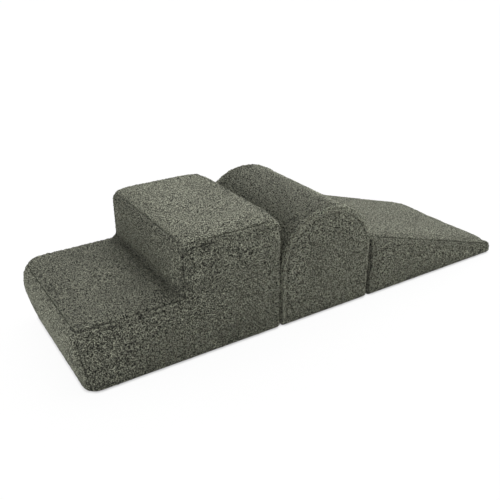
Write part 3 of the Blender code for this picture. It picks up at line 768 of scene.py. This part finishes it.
def cover_panel(node, cover, foam):
    """A panel of the cover with a mesh fine enough for its pile."""
    piece = copy_of(node, node.replace("_panel", "_cover"))
    remesh = piece.modifiers.new("fine mesh", "REMESH")
    remesh.mode = "VOXEL"
    remesh.voxel_size = cover.mesh_step
    apply_modifiers(piece)
    thin_lining(piece, foam_depths(points_of(piece.data), foam))
    piece.data.polygons.foreach_set("use_smooth", [True] * len(piece.data.polygons))
    return piece


def cushion_moves(prefix, cover):
    """Blow up one block's whole cover by cloth simulation, held at its seams and its base.

    Gives a search tree over the points of the cover, and how far each of them moved."""
    panels = [f"{prefix}_{word}_panel" for word in BOUCLE_PANELS[prefix]]
    bases = [f"{prefix}_{word}_panel" for word in BASE_PANELS[prefix]]
    parts = [copy_of(node, "cushion") for node in (*panels, *bases, *FOAM_NODES[prefix])]
    bpy.ops.object.select_all(action="DESELECT")
    for part in parts:
        part.select_set(True)
    bpy.context.view_layer.objects.active = parts[0]
    bpy.ops.object.join()
    cushion = bpy.context.object
    remesh = cushion.modifiers.new("even mesh", "REMESH")
    remesh.mode = "VOXEL"
    remesh.voxel_size = cover.cushion_step
    apply_modifiers(cushion)
    before = points_of(cushion.data)
    hold_seams(cushion, before, panels, cover)
    blow_up(cushion, cover)
    moves = points_of(cushion.data) - before
    lengths = np.linalg.norm(moves, axis=1, keepdims=True)
    moves *= np.minimum(1, cover.cushion_cap / np.maximum(lengths, NO_MOVE))
    tree = KDTree(len(before))
    for i, point in enumerate(before.tolist()):
        tree.insert(point, i)
    tree.balance()
    bpy.data.objects.remove(cushion, do_unlink=True)
    return tree, moves


def hold_seams(cushion, points, panels, cover):
    """Pin the points on the base and on the seams between panels."""
    gaps = np.full((len(panels), len(points)), FAR, np.float32)
    for row, panel in zip(gaps, panels):
        tree, _ = tree_of([panel])
        for i, point in enumerate(points.tolist()):
            gap = tree.find_nearest(point, 2 * cover.cushion_step)[3]
            row[i] = FAR if gap is None else gap
    second = np.sort(gaps, axis=0)[1]
    held = np.maximum(1 - smooth_step(cover.cushion_step, 2 * cover.cushion_step, second),
                      1 - smooth_step(HELD_HEIGHT, 2 * HELD_HEIGHT, points[:, 2]))
    set_group(cushion, "held", held)


def blow_up(cushion, cover):
    """Run the cloth simulation and keep its last frame."""
    scene = bpy.context.scene
    cloth = cushion.modifiers.new("stretched cover", "CLOTH")
    cloth.settings.vertex_group_mass = "held"
    cloth.settings.use_pressure = True
    cloth.settings.uniform_pressure_force = cover.cushion_pressure
    cloth.settings.shrink_min = -cover.cushion_slack
    cloth.settings.effector_weights.gravity = 0
    cloth.collision_settings.use_collision = False
    cloth.point_cache.frame_start = 1
    cloth.point_cache.frame_end = LAST_FRAME
    for frame_number in range(1, LAST_FRAME + 1):
        scene.frame_set(frame_number)
    apply_modifiers(cushion)
    scene.frame_set(1)


def cushioned(points, depths, cushion):
    """How far the cushion moves each point, the less the nearer it lies to the foam."""
    if cushion is None:
        return 0
    tree, moves = cushion
    offsets = np.zeros_like(points)
    for i, point in enumerate(points.tolist()):
        found = tree.find_n(point, FOLLOWED_POINTS)
        shares = [1 / (gap + NO_GAP) for _, _, gap in found]
        total = sum(shares)
        for share, (_, index, _) in zip(shares, found):
            offsets[i] += moves[index] * (share / total)
    return offsets * smooth_step(0, CUSHION_DEPTH, depths)[:, None]


def lean_low_end(points, cover):
    """Tuck in the foot of the two-step block's low end, and let its top stand out."""
    start = CAD_BOX[0][0]
    share = 1 - smooth_step(0, LEAN_REACH, points[:, 0] - start)
    height = smooth_step(0, LEAN_HEIGHT, points[:, 2])
    points[:, 0] += share * (cover.foot_tuck * (1 - height) - cover.head_bulge * height)
    return points


def round_corners(points, prefix, depths, cover):
    """Pull a block's corners in towards its middle, and leave the lining on the foam."""
    middle = (np.array(CORNERS[prefix]).mean(axis=0) if CORNERS[prefix] else 0) * (1, 1, 0.5)
    loose = smooth_step(0, ROUNDING_DEPTH, depths)
    for corner in CORNERS[prefix]:
        corner = np.array(corner)
        inwards = (middle - corner) / np.linalg.norm(middle - corner)
        share = np.exp(-(np.linalg.norm(points - corner, axis=1) / cover.corner_reach) ** 2) * loose
        points += (cover.corner_pull * share)[:, None] * inwards
    return points


def plain_name(node):
    """A panel's name without its last word, and alike for both sides of a block."""
    return node.replace("_panel", "").replace("_near_side", "_side").replace("_far_side", "_side")


def seam_places(points, name, neighbours, reach):
    """For each point, how far and where the nearest seam is, and how that seam looks."""
    others, owners = neighbours
    nap = PANEL_LIGHT_SHARES.get(name, 1.0)
    gaps = np.full(len(points), reach, np.float32)
    places = np.zeros_like(points)
    looks = np.tile(np.array(PLAIN_SEAM, np.float32), (len(points), 1))
    for i, point in enumerate(points.tolist()):
        place, _, face, gap = others.find_nearest(point, reach)
        if place is not None:
            gaps[i] = gap
            places[i] = place
            if "_base_" in owners[face]:
                looks[i] = (*BASE_SEAM, nap)
            else:
                pair = frozenset((plain_name(name), plain_name(owners[face])))
                looks[i] = SEAMS.get(pair, PLAIN_SEAM)
    if not plain_name(name).endswith("_side"):
        looks[:, 2] = 0
    return gaps, places, looks


def corner_gaps(points, name, reach):
    """How far each point is from the panel that its own meets in the inner corner of the step."""
    gaps = np.full(len(points), FAR, np.float32)
    if name in INNER_CORNER:
        tree, _ = tree_of([other + "_panel" for other in INNER_CORNER if other != name])
        for i, point in enumerate(points.tolist()):
            gap = tree.find_nearest(point, reach)[3]
            gaps[i] = FAR if gap is None else gap
    return gaps


def noise_at(places, spacing, near):
    """Smooth noise from -1 to 1 at some places, read only where it is needed."""
    values = np.zeros(len(places), np.float32)
    for i in np.nonzero(near)[0].tolist():
        values[i] = noise.noise(Vector(places[i].tolist()) / spacing)
    return values


def gather_seams(mesh, gaps, places, looks, full, inner, cover):
    """Draw the cloth into gathers that run out from its seams, and crease it over turned edges.

    Gives how light each point looks, which is less in a seam and in a crease."""
    gathers, sunk, welted = looks[:, :3].T
    near = gaps < cover.seam_reach
    waves = np.abs(noise_at(places, cover.gather_spacing, near))
    folds = waves * gathers * np.exp(-gaps / cover.gather_reach)
    breaks = smooth_step(*BREAK_RANGE, noise_at(places + BREAK_SHIFT, BREAK_SPACING, near))
    broken = BREAK_FLOOR + (1 - BREAK_FLOOR) * breaks
    stretches = smooth_step(*STRETCH_RANGE, noise_at(places + STRETCH_SHIFT, STRETCH_SPACING, near))
    shown = stretches * broken
    crease = welted * shown * np.exp(-((gaps - cover.welt_place) / cover.welt_width) ** 2)
    line = sunk * broken * np.exp(-(gaps / cover.seam_width) ** 2)
    filled = (1 - sunk) * np.exp(-(gaps / (2 * cover.seam_width)) ** 2) * (gaps < cover.seam_reach)
    fall = cover.gather_depth * folds + cover.welt_depth * crease + cover.seam_depth * (line - filled)
    fall -= cover.bridge_height * np.exp(-(inner / cover.bridge_reach) ** 2)
    set_points(mesh, points_of(mesh) - normals_of(mesh) * (fall * full)[:, None])
    shade = SEAM_SHADE * line + CREASE_SHADE * crease + FOLD_SHADE * folds
    shade += BRIDGE_SHADE * np.exp(-(inner / (3 * cover.bridge_reach)) ** 2)
    return 1 - np.clip(shade, 0, MOST_SHADE)


def pile_texture(name, size, folded):
    """Clouds, which are folded over to leave sharp gaps between round heads if that is asked for."""
    texture = bpy.data.textures.new(name, "CLOUDS")
    texture.noise_scale = size
    texture.noise_depth = 0
    texture.noise_type = "HARD_NOISE" if folded else "SOFT_NOISE"
    return texture


def raise_pile(piece, weights, cover):
    """Push the cover's outer side out into curls and clumps, and note how high each point is."""
    set_group(piece, "pile", weights)
    before, normals = points_of(piece.data), normals_of(piece.data)
    layers = (("curls", cover.curl_size, cover.curl_height, CURL_MIDDLE),
              ("clumps", cover.clump_size, cover.clump_height, 0.5))
    for name, size, height, middle in layers:
        displace = piece.modifiers.new(name, "DISPLACE")
        displace.texture = bpy.data.textures.get(name) or pile_texture(name, size, name == "curls")
        displace.mid_level = middle
        displace.texture_coords = "LOCAL"
        displace.vertex_group = "pile"
        displace.strength = height
    apply_modifiers(piece)
    piece.vertex_groups.clear()
    heights = ((points_of(piece.data) - before) * normals).sum(axis=1)
    share = np.clip(heights / cover.curl_height + CURL_MIDDLE, 0, 1)
    set_attribute(piece.data, "pile", share)


def opened_pile(opened, gaps, looks, cover):
    """How far the pile stands open: more where the cloth bends to a seam, less beside a crease."""
    bent = np.exp(-(gaps / cover.open_reach) ** 2)
    opened = opened + min(BENT_OPEN_SHARE, 1 - opened) * bent
    return opened * (1 - RIM_SHARE * (looks[:, 2] > 0) * np.exp(-(gaps / RIM_REACH) ** 2))


def painted_panel_light(name, points, gaps, looks):
    """Painted light: the panel's own share, a highlight past the arch's crown, the seam's by it."""
    nap = PANEL_LIGHT_SHARES.get(name, 1.0)
    if name == CROWN_PANEL:
        low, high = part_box(name + "_panel")
        past = points[:, 0] - (low[0] + high[0]) / 2
        lit = CROWN_HIGHLIGHT * smooth_step(*CROWN_RISE, past) * (1 - smooth_step(*CROWN_FALL, past))
        nap = nap * (1 + lit)
    return nap + (looks[:, 3] - nap) * np.exp(-(gaps / SEAM_LIGHT_REACH) ** 2)


def dress_panel(piece, name, neighbours, foam, cushion, cover):
    """Shape a panel's seams, pile and cushion; note its painted light and how open its pile is."""
    mesh = piece.data
    points = points_of(mesh)
    depths = foam_depths(points, foam)
    full = smooth_step(cover.pile_root, cover.pile_full, depths)
    opened = OPEN_SHARES.get(name, SIDE_OPEN_SHARE)
    gaps, places, looks = seam_places(points, name, neighbours, cover.seam_reach)
    looks[:, 0] *= opened
    inner = corner_gaps(points, name, 2 * cover.seam_reach)
    light = gather_seams(mesh, gaps, places, looks, full, inner, cover)
    opened = opened_pile(opened, gaps, looks, cover)
    standing = 1 - looks[:, 1] * (1 - smooth_step(0, cover.seam_width, gaps))
    raise_pile(piece, full * (CLOSED_PILE + OPEN_PILE * opened) * standing, cover)
    shaped = points_of(mesh) + cushioned(points, depths, cushion)
    rounded = round_corners(shaped, name.split("_")[0], depths, cover)
    set_points(mesh, lean_low_end(rounded, cover))
    set_attribute(mesh, "opened", opened)
    set_attribute(mesh, "nap", light * painted_panel_light(name, points, gaps, looks))


def dress_block(prefix, cover):
    """Make all the boucle panels of one block."""
    material = bpy.data.materials.get("looped_pile") or boucle_material(cover)
    foam, _ = tree_of(FOAM_NODES[prefix])
    names = [f"{prefix}_{word}" for word in BOUCLE_PANELS[prefix]]
    bases = [f"{prefix}_{word}" for word in BASE_PANELS[prefix]]
    cushion = cushion_moves(prefix, cover)
    pieces = [cover_panel(name + "_panel", cover, foam) for name in names]
    for name, piece in zip(names, pieces):
        others = [other + "_panel" for other in names + bases if other != name]
        dress_panel(piece, name, tree_of(others), foam, cushion, cover)
        finish_piece(piece, name + "_panel", BODIES[prefix], material)


class CLIMBER_OT_foam(Operator):
    """Make the foam inside each cover"""

    bl_idname = "climber.foam"
    bl_label = "Foam"

    def execute(self, context):
        material = foam_material(context.scene.climber_base)
        for prefix, nodes in FOAM_NODES.items():
            for node in nodes:
                name = node.replace("_foam_", "_cut_foam_")
                piece = leaned_copy(node, name, context.scene.climber_cover)
                finish_piece(piece, node, BODIES[prefix], material)
        return {"FINISHED"}


class CLIMBER_OT_stair_cover(Operator):
    """Make the boucle cover of the two-step block"""

    bl_idname = "climber.stair_cover"
    bl_label = "Stair cover"

    def execute(self, context):
        dress_block("stair", context.scene.climber_cover)
        return {"FINISHED"}


class CLIMBER_OT_hump_cover(Operator):
    """Make the boucle cover of the half-round block"""

    bl_idname = "climber.hump_cover"
    bl_label = "Hump cover"

    def execute(self, context):
        dress_block("hump", context.scene.climber_cover)
        return {"FINISHED"}


class CLIMBER_OT_wedge_cover(Operator):
    """Make the boucle cover of the ramp"""

    bl_idname = "climber.wedge_cover"
    bl_label = "Wedge cover"

    def execute(self, context):
        dress_block("wedge", context.scene.climber_cover)
        return {"FINISHED"}


class CLIMBER_OT_base_cloth(Operator):
    """Make the woven base of each cover"""

    bl_idname = "climber.base_cloth"
    bl_label = "Base cloth"

    def execute(self, context):
        material = base_cloth_material(context.scene.climber_base)
        for prefix, words in BASE_PANELS.items():
            for word in words:
                node = f"{prefix}_{word}_panel"
                piece = leaned_copy(node, f"{prefix}_{word}_cloth", context.scene.climber_cover)
                for name, corner in zip(("low_corner", "high_corner"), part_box(node)):
                    attribute = piece.data.attributes.new(name, "FLOAT_VECTOR", "POINT")
                    attribute.data.foreach_set("vector", list(corner) * len(piece.data.vertices))
                finish_piece(piece, node, BODIES[prefix], material)
        return {"FINISHED"}


class CLIMBER_OT_zips(Operator):
    """Finish the tapes, teeth, stops and sliders of the zips"""

    bl_idname = "climber.zips"
    bl_label = "Zips"

    def execute(self, context):
        base = context.scene.climber_base
        tape, teeth, metal = tape_material(base), teeth_material(base), metal_material(base)
        finishes = {"tape": tape, "teeth": teeth, "stop": metal, "slider": metal}
        for name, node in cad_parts.items():
            word = name.rsplit("_", 1)[-1]
            if "_zip_" in name:
                node.data.materials.clear()
                node.data.materials.append(finishes[word])
        return {"FINISHED"}


class CLIMBER_OT_stage(Operator):
    """Set up the white floor, the soft light and the camera"""

    bl_idname = "climber.stage"
    bl_label = "Stage"

    def execute(self, context):
        stage = context.scene.climber_stage
        bpy.ops.object.select_all(action="DESELECT")
        bpy.ops.mesh.primitive_plane_add(size=stage.floor_size)
        floor = context.object
        set_points(floor.data, points_of(floor.data) - (0, 0, FLOOR_GAP))
        floor.name = "floor"
        floor.data.materials.append(floor_material(stage))
        light_stage(context.scene, stage)
        place_camera(context.scene, stage)
        context.scene.view_settings.view_transform = "Standard"
        return {"FINISHED"}


def light_stage(scene, stage):
    """An even white sky that shows plain white, and two broad soft lamps."""
    world = bpy.data.worlds.new("studio")
    world.use_nodes = True
    scene.world = world
    start = Value(world.node_tree)
    seen = start.node("ShaderNodeLightPath", output="Is Camera Ray")
    strength = seen.between(0.0, 1.0, stage.sky_strength, 1.0)
    feed(world.node_tree.nodes["Background"], "Strength", strength)
    world.node_tree.nodes["Background"].inputs["Color"].default_value = (1.0, 1.0, 1.0, 1.0)
    lamps = (("key_lamp", stage.key_strength, KEY_SIDE),
             ("fill_lamp", stage.fill_strength, FILL_SIDE))
    for name, strength, side in lamps:
        lamp = bpy.data.objects.new(name, bpy.data.lights.new(name, "SUN"))
        lamp.data.energy = strength
        lamp.data.angle = LAMP_ANGLE
        lamp.rotation_euler = Vector(side).to_track_quat("Z", "Y").to_euler()
        scene.collection.objects.link(lamp)


def place_camera(scene, stage):
    """The camera of the photograph, as fitted to the outline of the blocks."""
    flat = math.cos(stage.camera_elevation)
    back = Vector((math.sin(stage.camera_azimuth) * flat, -math.cos(stage.camera_azimuth) * flat,
                   math.sin(stage.camera_elevation)))
    camera = bpy.data.objects.new("camera", bpy.data.cameras.new("camera"))
    camera.data.lens = stage.lens
    place = Matrix.Translation(Vector(stage.camera_target) + back * stage.camera_distance)
    facing = back.to_track_quat("Z", "Y").to_matrix().to_4x4()
    camera.matrix_world = place @ facing @ Matrix.Rotation(stage.camera_roll, 4, "Z")
    scene.collection.objects.link(camera)
    scene.camera = camera


class CLIMBER_PT_sidebar(Panel):
    """Buttons and sizes of the climber"""

    bl_label = "Foam climber"
    bl_space_type = "VIEW_3D"
    bl_region_type = "UI"
    bl_category = "Climber"

    def draw(self, context):
        for operator in OPERATORS:
            self.layout.operator(operator.bl_idname)
        for group in (context.scene.climber_cover, context.scene.climber_base,
                      context.scene.climber_stage):
            box = self.layout.box()
            for name in group.__annotations__:
                box.prop(group, name)


SETTINGS = {"climber_cover": CoverSettings, "climber_base": BaseSettings,
            "climber_stage": StageSettings}
OPERATORS = (CLIMBER_OT_foam, CLIMBER_OT_stair_cover, CLIMBER_OT_hump_cover, CLIMBER_OT_wedge_cover,
             CLIMBER_OT_base_cloth, CLIMBER_OT_zips, CLIMBER_OT_stage)


def register():
    for kind in (*SETTINGS.values(), *OPERATORS, CLIMBER_PT_sidebar):
        bpy.utils.register_class(kind)
    for name, kind in SETTINGS.items():
        setattr(bpy.types.Scene, name, PointerProperty(type=kind))


def unregister():
    for name in SETTINGS:
        delattr(bpy.types.Scene, name)
    for kind in (CLIMBER_PT_sidebar, *reversed(OPERATORS), *SETTINGS.values()):
        bpy.utils.unregister_class(kind)


def main():
    register()
    bpy.ops.climber.foam()
    bpy.ops.climber.stair_cover()
    bpy.ops.climber.hump_cover()
    bpy.ops.climber.wedge_cover()
    bpy.ops.climber.base_cloth()
    bpy.ops.climber.zips()
    bpy.ops.climber.stage()


if __name__ == "__main__":
    main()
